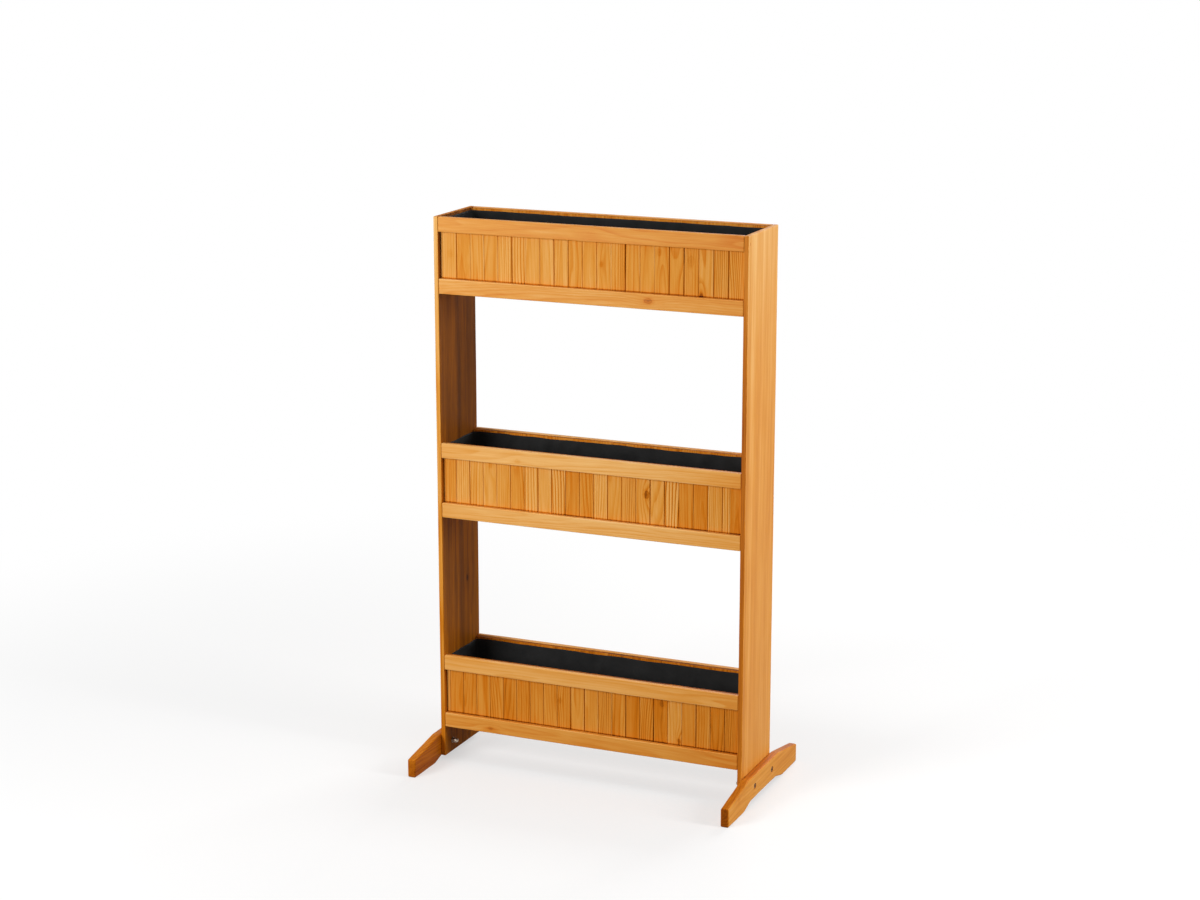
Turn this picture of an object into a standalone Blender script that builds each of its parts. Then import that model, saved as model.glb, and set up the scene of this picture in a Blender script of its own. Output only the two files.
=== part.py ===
"""Tiered raised planter: three open wooden troughs, one above another, between two side panels on bowed feet.

Metres, +Z up, +Y to the back, +X to the right. The origin is on the floor, under the middle of the planter.
"""

import math

import bmesh
import bpy

# Side panels
HEIGHT = 1.200
WIDTH = 0.700
DEPTH = 0.175
PANEL_THICKNESS = 0.010
PANEL_LIFT = 0.0105

# Troughs
TROUGH_HEIGHT = 0.163
MIDDLE_TROUGH_TOP = 0.7145
BOTTOM_TROUGH_TOP = 0.241
RAIL_HEIGHT = 0.032
RAIL_THICKNESS = 0.010

# Tongue-and-groove boards between the rails, glued up as one panel for each wall. The end boards are cut
# to fit, so the first joint from the wall's left end lies elsewhere in each tier, and an offcut may fill up.
BOARD_COVER = 0.0319
NARROWEST_BOARD = 0.012
FIRST_JOINTS = {"top": 0.0377, "middle": 0.0302, "bottom": 0.0088}
OFFCUTS = {"middle": 0.0164}
BOARD_THICKNESS = 0.008
JOINT_WIDTH = 0.004
JOINT_DEPTH = 0.002
BOARD_SETDOWN = 0.0015

# Trough floor: long boards with drainage gaps, on bearers that run front to back
FLOOR_BOARD_COUNT = 3
FLOOR_BOARD_THICKNESS = 0.009
DRAINAGE_GAP = 0.006
BEARER_COUNT = 3
BEARER_WIDTH = 0.018
BEARER_HEIGHT = 0.015
BEARER_RAISE = 0.003

# Black liner: an open bag inside the walls
LINER_THICKNESS = 0.0006
LINER_CLEARANCE = 0.0006
LINER_BELOW_RIM = 0.005

# Feet: bowed boards outside the panels, with an arch cut below and both ends cut down
FOOT_LENGTH = 0.425
FOOT_THICKNESS = 0.018
FOOT_HEIGHT = 0.060
FOOT_END_HEIGHT = 0.040
FOOT_FLAT_TOP = 0.190
PAD_LENGTH = 0.094
ARCH_SLOPE_LENGTH = 0.040
ARCH_HEIGHT = 0.0105

# Bolts through foot and panel, with a washer and a domed nut inside
BOLT_SPACING = 0.106
BOLT_ABOVE_FLOOR = 0.036
BOLT_DIAMETER = 0.006
HEAD_DIAMETER = 0.010
HEAD_HEIGHT = 0.006
HEAD_EDGE = 0.0006
SOCKET_WIDTH = 0.005
SOCKET_DEPTH = 0.003
SHANK_CLEARANCE = 0.0004
HEAD_CLEARANCE = 0.001
THREAD_ENGAGEMENT = 0.0065
WASHER_DIAMETER = 0.012
WASHER_THICKNESS = 0.0016
NUT_WIDTH = 0.010
NUT_HEX_HEIGHT = 0.005
NUT_HEIGHT = 0.012
DOME_DIAMETER = 0.0094
BORE_CLEARANCE = 0.0003

# Small finishing sizes
SEAT = 0.0003
EASED_EDGE = 0.0015
PANEL_EASED_EDGE = 0.0010
CUT_MARGIN = 0.002
ROUND_STEPS = 24

# Sizes that follow
INNER_WIDTH = WIDTH - 2 * PANEL_THICKNESS
WALL_LENGTH = INNER_WIDTH - 2 * SEAT
WALL_THICKNESS = RAIL_THICKNESS + SEAT + BOARD_THICKNESS
INNER_DEPTH = DEPTH - 2 * WALL_THICKNESS
BEARER_TOP = BEARER_RAISE + BEARER_HEIGHT
FLOOR_TOP = BEARER_TOP + SEAT + FLOOR_BOARD_THICKNESS
TROUGH_TOPS = {"top": HEIGHT, "middle": MIDDLE_TROUGH_TOP, "bottom": BOTTOM_TROUGH_TOP}
HEAD_SEAT = FOOT_THICKNESS - HEAD_HEIGHT - HEAD_CLEARANCE
NUT_SEAT = -SEAT - PANEL_THICKNESS - SEAT - WASHER_THICKNESS - SEAT

HONEY = (0.66, 0.33, 0.095, 1.0)
HONEY_LIGHT = (0.74, 0.40, 0.135, 1.0)
HONEY_DEEP = (0.56, 0.25, 0.055, 1.0)
UNSEEN_WOOD = (0.50, 0.27, 0.10, 1.0)
BLACK = (0.012, 0.012, 0.013, 1.0)
ZINC = (0.62, 0.62, 0.60, 1.0)


def clear_scene():
    for obj in list(bpy.data.objects):
        bpy.data.objects.remove(obj, do_unlink=True)


def new_collection(name, hidden=False):
    collection = bpy.data.collections.new(name)
    bpy.context.scene.collection.children.link(collection)
    collection.hide_render = hidden
    return collection


def new_material(name, colour, roughness, metallic=0.0):
    material = bpy.data.materials.new(name)
    material.use_nodes = True
    shader = material.node_tree.nodes["Principled BSDF"]
    shader.inputs["Base Color"].default_value = colour
    shader.inputs["Roughness"].default_value = roughness
    shader.inputs["Metallic"].default_value = metallic
    material.diffuse_color = colour
    return material


def new_empty(name, parent=None, location=(0, 0, 0), turn=0.0):
    """An empty that carries a group of pieces, turned about Z."""
    empty = bpy.data.objects.new(name, None)
    empty.empty_display_size = 0.05
    empty.location = location
    empty.rotation_euler = (0, 0, turn)
    empty.parent = parent
    planter.objects.link(empty)
    return empty


def place(obj, parent, location, rotation=(0, 0, 0)):
    obj.parent = parent
    obj.location = location
    obj.rotation_euler = rotation
    return obj


def ease_edges(obj, width, segments=2):
    bevel = obj.modifiers.new("Eased edges", "BEVEL")
    bevel.width = width
    bevel.segments = segments
    bevel.limit_method = "ANGLE"
    bevel.angle_limit = math.radians(30)


def new_board(name, size, material, eased=0.0):
    """A sawn board, centred on its origin."""
    mesh = bpy.data.meshes.new(name)
    shape = bmesh.new()
    bmesh.ops.create_cube(shape, size=1.0)
    bmesh.ops.scale(shape, vec=size, verts=shape.verts)
    shape.to_mesh(mesh)
    shape.free()
    mesh.materials.append(material)
    obj = bpy.data.objects.new(name, mesh)
    planter.objects.link(obj)
    if eased:
        ease_edges(obj, eased)
    return obj


def new_outline(name, points, thickness, material):
    """A flat board with the given outline in its own XY plane, centred in thickness, as one welded mesh."""
    curve = bpy.data.curves.new(name, "CURVE")
    curve.dimensions = "2D"
    curve.fill_mode = "BOTH"
    curve.extrude = thickness / 2
    spline = curve.splines.new("POLY")
    spline.points.add(len(points) - 1)
    for point, (x, y) in zip(spline.points, points):
        point.co = (x, y, 0, 1)
    spline.use_cyclic_u = True
    outline = bpy.data.objects.new(name + "_outline", curve)
    planter.objects.link(outline)
    graph = bpy.context.evaluated_depsgraph_get()
    mesh = bpy.data.meshes.new_from_object(outline.evaluated_get(graph))
    bpy.data.objects.remove(outline, do_unlink=True)
    shape = bmesh.new()
    shape.from_mesh(mesh)
    bmesh.ops.remove_doubles(shape, verts=shape.verts, dist=1e-6)
    bmesh.ops.recalc_face_normals(shape, faces=shape.faces)
    shape.to_mesh(mesh)
    shape.free()
    mesh.name = name
    mesh.materials.clear()
    mesh.materials.append(material)
    obj = bpy.data.objects.new(name, mesh)
    planter.objects.link(obj)
    return obj


def new_turned(name, profile, material=None, closed=False, cutter=False):
    """A piece turned about its own Z axis from (radius, height) points that run down the outer side."""
    mesh = bpy.data.meshes.new(name)
    edges = [(i, i + 1) for i in range(len(profile) - 1)]
    if closed:
        edges.append((len(profile) - 1, 0))
    mesh.from_pydata([(radius, 0, height) for radius, height in profile], edges, [])
    obj = bpy.data.objects.new(name, mesh)
    (cutters if cutter else planter).objects.link(obj)
    screw = obj.modifiers.new("Turn", "SCREW")
    screw.steps = ROUND_STEPS
    screw.render_steps = ROUND_STEPS
    screw.use_merge_vertices = True
    screw.merge_threshold = 1e-5
    screw.use_smooth_shade = False
    if material:
        mesh.materials.append(material)
    if cutter:
        obj.hide_render = True
        obj.display_type = "WIRE"
    return obj


def new_hexagon(name, across_flats, height):
    """A six-sided prism that stands on its own XY plane."""
    mesh = bpy.data.meshes.new(name)
    shape = bmesh.new()
    radius = across_flats / 2 / math.cos(math.radians(30))
    bmesh.ops.create_cone(shape, cap_ends=True, segments=6, radius1=radius, radius2=radius, depth=height)
    bmesh.ops.translate(shape, vec=(0, 0, height / 2), verts=shape.verts)
    shape.to_mesh(mesh)
    shape.free()
    return bpy.data.objects.new(name, mesh)


def boolean(obj, other, operation="DIFFERENCE"):
    modifier = obj.modifiers.new(operation.capitalize(), "BOOLEAN")
    modifier.operation = operation
    modifier.object = other
    other.hide_render = True
    other.display_type = "WIRE"


def joint_places(tier):
    """How far each joint of a wall lies from its left end, seen from outside."""
    places = []
    place_along = FIRST_JOINTS[tier]
    while place_along < WALL_LENGTH - NARROWEST_BOARD:
        places.append(place_along)
        place_along += BOARD_COVER
    if tier in OFFCUTS:
        places.append(places[-1] + OFFCUTS[tier])
    return places


def board_panel(name, tier):
    """One wall's tongue-and-groove boards. The outline is the panel seen from above, with a V at each joint."""
    length = WALL_LENGTH
    front = -BOARD_THICKNESS / 2
    points = [(-length / 2, front)]
    for joint in joint_places(tier):
        middle = -length / 2 + joint
        points.append((middle - JOINT_WIDTH / 2, front))
        points.append((middle, front + JOINT_DEPTH))
        points.append((middle + JOINT_WIDTH / 2, front))
    points.append((length / 2, front))
    points.append((length / 2, -front))
    points.append((-length / 2, -front))
    return new_outline(name, points, TROUGH_HEIGHT - 2 * BOARD_SETDOWN, board_wood)


def build_wall(trough, tier, side, turn):
    """One long wall, built facing the front and turned for the back: two rails with the boards behind them."""
    wall = new_empty(f"{tier}_{side}_wall", trough, turn=turn)
    rail_y = -DEPTH / 2 + RAIL_THICKNESS / 2
    rail_size = (WALL_LENGTH, RAIL_THICKNESS, RAIL_HEIGHT)
    for level, rail_z in (("top", TROUGH_HEIGHT - RAIL_HEIGHT / 2), ("bottom", RAIL_HEIGHT / 2)):
        rail = new_board(f"{tier}_{side}_{level}_rail", rail_size, rail_wood, EASED_EDGE)
        place(rail, wall, (0, rail_y, rail_z))
    boards = board_panel(f"{tier}_{side}_boards", tier)
    boards_y = -DEPTH / 2 + RAIL_THICKNESS + SEAT + BOARD_THICKNESS / 2
    place(boards, wall, (0, boards_y, TROUGH_HEIGHT / 2))


def build_floor(trough, tier):
    """Bearers between the long walls, and the floor boards on them."""
    reach = INNER_WIDTH / 2 - SEAT - BEARER_WIDTH / 2
    bearer_size = (BEARER_WIDTH, INNER_DEPTH - 2 * SEAT, BEARER_HEIGHT)
    for index in range(BEARER_COUNT):
        x = -reach + 2 * reach * index / (BEARER_COUNT - 1)
        bearer = new_board(f"{tier}_bearer_{index + 1}", bearer_size, plain_wood)
        place(bearer, trough, (x, 0, BEARER_TOP - BEARER_HEIGHT / 2))
    gaps = (FLOOR_BOARD_COUNT - 1) * DRAINAGE_GAP
    board_width = (INNER_DEPTH - 2 * SEAT - gaps) / FLOOR_BOARD_COUNT
    board_size = (WALL_LENGTH, board_width, FLOOR_BOARD_THICKNESS)
    for index in range(FLOOR_BOARD_COUNT):
        y = -INNER_DEPTH / 2 + SEAT + board_width / 2 + index * (board_width + DRAINAGE_GAP)
        board = new_board(f"{tier}_floor_board_{index + 1}", board_size, plain_wood)
        place(board, trough, (0, y, FLOOR_TOP - FLOOR_BOARD_THICKNESS / 2))


def build_liner(trough, tier):
    """An open-topped bag: a box without its top face, thickened inwards."""
    size_x = INNER_WIDTH - 2 * LINER_CLEARANCE
    size_y = INNER_DEPTH - 2 * LINER_CLEARANCE
    bottom = FLOOR_TOP + SEAT
    size_z = TROUGH_HEIGHT - LINER_BELOW_RIM - bottom
    mesh = bpy.data.meshes.new(f"{tier}_liner")
    shape = bmesh.new()
    bmesh.ops.create_cube(shape, size=1.0)
    bmesh.ops.scale(shape, vec=(size_x, size_y, size_z), verts=shape.verts)
    lid = [face for face in shape.faces if face.normal.z > 0.5]
    bmesh.ops.delete(shape, geom=lid, context="FACES_ONLY")
    shape.to_mesh(mesh)
    shape.free()
    mesh.materials.append(liner_cloth)
    liner = bpy.data.objects.new(f"{tier}_liner", mesh)
    planter.objects.link(liner)
    solidify = liner.modifiers.new("Thickness", "SOLIDIFY")
    solidify.thickness = LINER_THICKNESS
    solidify.offset = -1
    solidify.use_even_offset = True
    place(liner, trough, (0, 0, bottom + size_z / 2))


def build_trough(tier, top):
    trough = new_empty(f"{tier}_trough", whole, (0, 0, top - TROUGH_HEIGHT))
    build_wall(trough, tier, "front", 0.0)
    build_wall(trough, tier, "back", math.pi)
    build_floor(trough, tier)
    build_liner(trough, tier)


def foot_outline():
    """The foot seen from its side: x is along the foot and y is up, both from the middle of its foot line."""
    end = FOOT_LENGTH / 2
    pad = end - PAD_LENGTH
    arch = pad - ARCH_SLOPE_LENGTH
    right = [
        (arch, ARCH_HEIGHT),
        (pad, 0),
        (end, 0),
        (end, FOOT_END_HEIGHT),
        (FOOT_FLAT_TOP / 2, FOOT_HEIGHT),
    ]
    left = [(-x, y) for x, y in reversed(right)]
    return right + left


def bolt_hole(name, side, y):
    """A cutter for one bolt: the clearance hole through foot and panel, and the counterbore for the head."""
    wide = HEAD_DIAMETER / 2 + HEAD_CLEARANCE
    narrow = BOLT_DIAMETER / 2 + SHANK_CLEARANCE
    outside = FOOT_THICKNESS + CUT_MARGIN
    inside = -SEAT - PANEL_THICKNESS - CUT_MARGIN
    profile = [(0, outside), (wide, outside), (wide, HEAD_SEAT), (narrow, HEAD_SEAT), (narrow, inside), (0, inside)]
    cutter = new_turned(name, profile, cutter=True)
    place(cutter, side, (WIDTH / 2 + SEAT, y, BOLT_ABOVE_FLOOR), (0, math.pi / 2, 0))
    return cutter


def build_bolt(name, side, y):
    """A cap-head bolt: a turned head and shank, with a hexagon socket cut into the head."""
    head = HEAD_DIAMETER / 2
    shank = BOLT_DIAMETER / 2
    under_head = HEAD_SEAT + SEAT
    top = under_head + HEAD_HEIGHT
    tip = NUT_SEAT - THREAD_ENGAGEMENT
    profile = [
        (0, top),
        (head - HEAD_EDGE, top),
        (head, top - HEAD_EDGE),
        (head, under_head),
        (shank, under_head),
        (shank, tip + HEAD_EDGE),
        (shank - HEAD_EDGE, tip),
        (0, tip),
    ]
    bolt = new_turned(name, profile, steel)
    place(bolt, side, (WIDTH / 2 + SEAT, y, BOLT_ABOVE_FLOOR), (0, math.pi / 2, 0))
    socket = new_hexagon(f"{name}_socket", SOCKET_WIDTH, SOCKET_DEPTH + CUT_MARGIN)
    cutters.objects.link(socket)
    place(socket, bolt, (0, 0, top - SOCKET_DEPTH))
    boolean(bolt, socket)


def build_washer(name, side, y):
    inner = BOLT_DIAMETER / 2 + BORE_CLEARANCE
    outer = WASHER_DIAMETER / 2
    low = NUT_SEAT + SEAT
    high = low + WASHER_THICKNESS
    washer = new_turned(name, [(inner, high), (outer, high), (outer, low), (inner, low)], steel, closed=True)
    place(washer, side, (WIDTH / 2 + SEAT, y, BOLT_ABOVE_FLOOR), (0, math.pi / 2, 0))


def build_nut(name, side, y):
    """A domed nut: a hexagon joined to a turned dome, with a blind bore for the bolt."""
    radius = DOME_DIAMETER / 2
    shoulder = NUT_HEIGHT - radius
    arc_steps = 5
    dome_profile = [(0, NUT_HEIGHT)]
    for step in range(1, arc_steps + 1):
        angle = math.pi / 2 * step / arc_steps
        dome_profile.append((radius * math.sin(angle), shoulder + radius * math.cos(angle)))
    dome_profile.append((radius, NUT_HEX_HEIGHT / 2))
    dome_profile.append((0, NUT_HEX_HEIGHT / 2))
    nut = new_hexagon(name, NUT_WIDTH, NUT_HEX_HEIGHT)
    nut.data.materials.append(steel)
    planter.objects.link(nut)
    place(nut, side, (WIDTH / 2 + SEAT + NUT_SEAT, y, BOLT_ABOVE_FLOOR), (0, -math.pi / 2, 0))
    dome = new_turned(f"{name}_dome", dome_profile, cutter=True)
    place(dome, nut, (0, 0, 0))
    boolean(nut, dome, "UNION")
    bore_radius = BOLT_DIAMETER / 2 + BORE_CLEARANCE
    bore_top = THREAD_ENGAGEMENT + BORE_CLEARANCE
    bore_profile = [(0, bore_top), (bore_radius, bore_top), (bore_radius, -CUT_MARGIN), (0, -CUT_MARGIN)]
    bore = new_turned(f"{name}_bore", bore_profile, cutter=True)
    place(bore, nut, (0, 0, 0))
    boolean(nut, bore)


def build_side(name, turn):
    """One side panel with its foot and fasteners, built for +X and turned for the left."""
    side = new_empty(f"{name}_side", whole, turn=turn)
    panel_size = (PANEL_THICKNESS, DEPTH, HEIGHT - PANEL_LIFT)
    panel = new_board(f"side_panel_{name}", panel_size, panel_wood, PANEL_EASED_EDGE)
    place(panel, side, ((WIDTH - PANEL_THICKNESS) / 2, 0, (HEIGHT + PANEL_LIFT) / 2))
    foot = new_outline(f"foot_{name}", foot_outline(), FOOT_THICKNESS, foot_wood)
    foot_x = WIDTH / 2 + SEAT + FOOT_THICKNESS / 2
    place(foot, side, (foot_x, 0, 0), (math.pi / 2, 0, math.pi / 2))
    ease_edges(foot, EASED_EDGE)
    for end, y in (("front", -BOLT_SPACING / 2), ("back", BOLT_SPACING / 2)):
        # The left side is turned half round, so its front lies at +Y of its own frame.
        own_y = y * math.cos(turn)
        hole = bolt_hole(f"bolt_hole_{name}_{end}", side, own_y)
        boolean(foot, hole)
        boolean(panel, hole)
        build_bolt(f"bolt_{name}_{end}", side, own_y)
        build_washer(f"washer_{name}_{end}", side, own_y)
        build_nut(f"dome_nut_{name}_{end}", side, own_y)


clear_scene()
planter = new_collection("tiered_raised_planter")
cutters = new_collection("cutters", hidden=True)

panel_wood = new_material("panel_wood", HONEY_LIGHT, 0.50)
rail_wood = new_material("rail_wood", HONEY, 0.48)
board_wood = new_material("board_wood", HONEY, 0.52)
foot_wood = new_material("foot_wood", HONEY_DEEP, 0.50)
plain_wood = new_material("plain_wood", UNSEEN_WOOD, 0.70)
liner_cloth = new_material("liner_cloth", BLACK, 0.85)
steel = new_material("zinc_plated_steel", ZINC, 0.35, 1.0)

whole = new_empty("tiered_raised_planter")
build_side("left", math.pi)
build_side("right", 0.0)
for tier_name, tier_top in TROUGH_TOPS.items():
    build_trough(tier_name, tier_top)
bpy.context.view_layer.update()
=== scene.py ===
# %% [markdown]
# # A tiered raised planter
#
# Three open wooden troughs hang one above another between two side panels, and each panel stands on a
# bowed foot that is bolted on from outside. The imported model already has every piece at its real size, so
# this script only dresses it: it loads that model as a fixed frame, reads each piece's place from it, and
# builds a finer piece there with rounded arrises, joints, folds and a finish.

import math

import bmesh
import bpy
import numpy as np
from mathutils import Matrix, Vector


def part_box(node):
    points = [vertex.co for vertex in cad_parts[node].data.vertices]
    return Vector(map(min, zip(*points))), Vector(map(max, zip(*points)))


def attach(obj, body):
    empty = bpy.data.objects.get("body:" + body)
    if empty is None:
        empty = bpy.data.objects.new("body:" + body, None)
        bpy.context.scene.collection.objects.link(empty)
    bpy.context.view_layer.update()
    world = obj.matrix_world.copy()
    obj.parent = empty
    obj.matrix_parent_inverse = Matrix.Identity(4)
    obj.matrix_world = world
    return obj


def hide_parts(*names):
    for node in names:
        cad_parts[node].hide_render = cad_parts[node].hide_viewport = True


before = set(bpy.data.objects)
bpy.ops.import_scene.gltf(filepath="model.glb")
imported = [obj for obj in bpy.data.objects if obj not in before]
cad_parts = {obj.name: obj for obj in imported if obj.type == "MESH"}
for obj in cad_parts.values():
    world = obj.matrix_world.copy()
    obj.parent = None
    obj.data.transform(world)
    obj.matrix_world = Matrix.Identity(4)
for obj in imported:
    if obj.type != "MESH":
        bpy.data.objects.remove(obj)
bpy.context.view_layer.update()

# %% [markdown]
# ## Camera
#
# The photograph looks down on the planter from its front right. Its upright edges stay almost parallel,
# which a shifted lens or a long one can give. A long lens was chosen, because a shift that large would
# push the planter out of every other view. The place comes from fitting the corners of the boards.

# %% Camera
CAMERA_PLACE = (2.0219, -4.7085, 1.9413)
CAMERA_PITCH = 13.48
CAMERA_AZIMUTH = 23.33
CAMERA_LENS = 75.0


def add_object(name, data):
    """An object that shows this data, linked into the scene."""
    made = bpy.data.objects.new(name, data)
    bpy.context.scene.collection.objects.link(made)
    return made


def add_camera():
    camera = add_object("camera", bpy.data.cameras.new("camera"))
    camera.data.sensor_width = 36.0
    camera.data.lens = CAMERA_LENS
    camera.location = CAMERA_PLACE
    camera.rotation_euler = (math.radians(90 - CAMERA_PITCH), 0, math.radians(CAMERA_AZIMUTH))
    bpy.context.scene.camera = camera
    return camera


print("camera:", add_camera().data.lens, "mm")

# %% [markdown]
# ## Short names for shader nodes
#
# A material is a graph of nodes. Adding and linking each one by hand takes three lines, so this small
# class gives the kinds of node used here a call of their own, which returns the node's output.


# %% Short names for shader nodes
class Graph:
    """Adds nodes to one node tree. An input is a number, a colour or the output of another node."""

    def __init__(self, tree):
        self.tree = tree

    def node(self, kind, output, inputs=None, **settings):
        made = self.tree.nodes.new(kind)
        for name, value in settings.items():
            setattr(made, name, value)
        for socket, value in (inputs or {}).items():
            self.put(made.inputs[socket], value)
        return made if output is None else made.outputs[output]

    def put(self, socket, value):
        if isinstance(value, bpy.types.NodeSocket):
            self.tree.links.new(value, socket)
        else:
            socket.default_value = value

    def math(self, operation, first, second=0.0):
        return self.node("ShaderNodeMath", 0, {0: first, 1: second}, operation=operation)

    def total(self, start, *terms):
        """The start value plus each (amount, value) pair's product."""
        for amount, value in terms:
            start = self.node("ShaderNodeMath", 0, {0: value, 1: amount, 2: start}, operation="MULTIPLY_ADD")
        return start

    def vector(self, operation, first, second=(0.0, 0.0, 0.0), output="Vector"):
        return self.node("ShaderNodeVectorMath", output, {0: first, 1: second}, operation=operation)

    def noise(self, place, stretch, detail=2.0, output="Fac"):
        """Noise in metres: stretch is how many spots there are to the metre along each axis."""
        place = self.vector("MULTIPLY", place, stretch)
        return self.node("ShaderNodeTexNoise", output, {"Vector": place, "Scale": 1.0, "Detail": detail})

    def attribute(self, name, output="Vector"):
        return self.node("ShaderNodeAttribute", output, attribute_name=name)

    def split(self, vector):
        """The three parts of a vector."""
        parts = self.node("ShaderNodeSeparateXYZ", None, {0: vector}).outputs
        return parts[0], parts[1], parts[2]

    def ramp(self, value, stops):
        """Colours or grey levels along a scale from 0 to 1: stops are (place, colour)."""
        made = self.node("ShaderNodeValToRGB", None, {"Fac": value})
        bar = made.color_ramp
        for place, colour in stops[1:-1]:
            bar.elements.new(place)
        for element, (place, colour) in zip(bar.elements, stops):
            element.position = place
            element.color = (*colour, 1.0) if hasattr(colour, "__len__") else (colour, colour, colour, 1.0)
        return made.outputs["Color"]

    def bump(self, shader, height, strength, distance):
        """Lets a height from 0 to 1 show in the shader's light and shade."""
        made = {"Strength": strength, "Distance": distance, "Height": height}
        self.put(shader.inputs["Normal"], self.node("ShaderNodeBump", 0, made))

    def seen_directly(self):
        """1 for what the camera, a mirror or a pane of glass sees, and 0 for light that spreads."""
        rays = self.tree.nodes.new("ShaderNodeLightPath").outputs
        mirrored = self.math("MAXIMUM", rays["Is Glossy Ray"], rays["Is Transmission Ray"])
        return self.math("MAXIMUM", rays["Is Camera Ray"], mirrored)


def from_screen(red, green, blue):
    """The linear colour of a screen colour that is given from 0 to 255."""
    return tuple((np.array([red, green, blue]) / 255) ** 2.2)


def new_material(name):
    material = bpy.data.materials.new(name)
    material.use_nodes = True
    return Graph(material.node_tree), material.node_tree.nodes["Principled BSDF"], material


print("screen colour 188 is", round(from_screen(188, 188, 188)[0], 3), "linear")

# %% [markdown]
# ## Studio
#
# The photograph is cut out on white. Here a pale floor keeps the planter's soft shadow and turns pure
# white a few steps away, and the world is white to the camera. Both are dimmer for light that spreads,
# so that the lamps shape the wood. The main lamp stands at the front left, not much above the planter,
# because the tops of the feet are darker than their sides in the photograph. One at the right stands in
# line with the panels, so that the right panel shades the left one. A faint one hangs overhead, and one
# behind the middle lights the back.

# %% Studio
FLOOR_REACH = 8.0
FLOOR_WHITE = 0.97
FLOOR_BOUNCE = 0.28
FLOOR_GLOW = 0.55
FLOOR_FADE = (0.8, 2.4)
WORLD_LEVEL = 0.24
LAMPS = {
    "main_lamp": {"place": (-1.7, -3.2, 1.75), "size": (1.6, 1.6), "level": 0.73},
    "right_lamp": {"place": (3.0, -0.2, 1.15), "size": (0.6, 1.6), "level": 0.57},
    "top_lamp": {"place": (0.5, -0.6, 3.2), "size": (1.8, 1.8), "level": 0.12},
    "back_lamp": {"place": (0.3, 3.3, 2.0), "size": (1.8, 1.8), "level": 0.62},
}
AIM = (0.0, 0.0, 0.62)


def add_lamp(name, place, size, level):
    """A rectangular lamp aimed at the planter. Level is how bright it lights a white card that faces it."""
    lamp = bpy.data.lights.new(name, "AREA")
    lamp.shape = "RECTANGLE"
    lamp.size, lamp.size_y = size
    away = np.array(place) - np.array(AIM)
    distance = np.linalg.norm(away)
    lamp.energy = level * (math.pi * distance) ** 2
    obj = add_object(name, lamp)
    obj.location = place
    tilt = math.acos(away[2] / distance)
    turn = math.atan2(away[0], -away[1])
    obj.rotation_euler = (tilt, 0, turn)
    obj.visible_camera = False


def light_world():
    world = bpy.data.worlds.new("white_studio")
    world.use_nodes = True
    world.node_tree.nodes.clear()
    graph = Graph(world.node_tree)
    spread = graph.node("ShaderNodeBackground", 0, {"Strength": WORLD_LEVEL, "Color": (1, 1, 1, 1)})
    shown = graph.node("ShaderNodeBackground", 0, {"Strength": 1.0, "Color": (1, 1, 1, 1)})
    mixed = graph.node("ShaderNodeMixShader", 0, {0: graph.seen_directly(), 1: spread, 2: shown})
    graph.node("ShaderNodeOutputWorld", None, {"Surface": mixed})
    bpy.context.scene.world = world


def pale_floor():
    graph, shader, material = new_material("pale_floor")
    seen = graph.seen_directly()
    level = graph.total(FLOOR_BOUNCE, (FLOOR_WHITE - FLOOR_BOUNCE, seen))
    shader.inputs["Roughness"].default_value = 0.9
    shader.inputs["Specular IOR Level"].default_value = 0.0
    grey = graph.node("ShaderNodeCombineColor", 0, {0: level, 1: level, 2: level})
    graph.put(shader.inputs["Base Color"], grey)
    place = graph.node("ShaderNodeTexCoord", "Object")
    away = graph.vector("LENGTH", place, output="Value")
    reach = {0: away, 1: FLOOR_FADE[0], 2: FLOOR_FADE[1], 3: FLOOR_GLOW, 4: 1.0}
    fade = graph.node("ShaderNodeMapRange", 0, reach, interpolation_type="SMOOTHSTEP")
    white = graph.node("ShaderNodeEmission", 0, {"Color": (1, 1, 1, 1), "Strength": 1.0})
    mixed = graph.node(
        "ShaderNodeMixShader", 0, {0: graph.math("MULTIPLY", fade, seen), 1: shader.outputs[0], 2: white}
    )
    output = material.node_tree.nodes["Material Output"]
    graph.put(output.inputs["Surface"], mixed)
    return material


def add_floor():
    """A round floor: each point's distance from the middle by each angle round it."""
    angle = np.linspace(0, 2 * math.pi, 64, endpoint=False)
    rim = np.stack([np.cos(angle), np.sin(angle), 0 * angle], axis=1) * FLOOR_REACH
    mesh = bpy.data.meshes.new("floor")
    mesh.from_pydata(rim.tolist(), [], [list(range(64))])
    mesh.materials.append(pale_floor())
    floor = add_object("floor", mesh)


bpy.context.scene.view_settings.view_transform = "Standard"
light_world()
add_floor()
for lamp_name, lamp_facts in LAMPS.items():
    add_lamp(lamp_name, **lamp_facts)
print(len(LAMPS), "lamps and a floor of", FLOOR_REACH, "m")

# %% [markdown]
# ## Stained softwood
#
# The boards are a fast-grown softwood under a honey stain. Seen close, such wood has yearly rings with
# pale early wood and a darker late band, fine fibres, patches where the stain sank in, and a few knots.
# A picture of wood would stretch on the edges and repeat, so the tree itself is drawn instead: each board
# carries an attribute that says where in the trunk it was sawn from, and the rings are circles round the
# pith there. Faces, edges and ends of one board then match, as they do in real timber.

# %% The figure of the tree
RING_WIDTH = 0.0042
RING_WANDER = 0.010
RING_UNEVENNESS = 1.6
KNOT_FADE = 1.9
KNOT_SWELL = 1.5
SWELL_ACROSS = 0.16
SWELL_ALONG = 0.035
LATE_SHARE = 0.3


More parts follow.
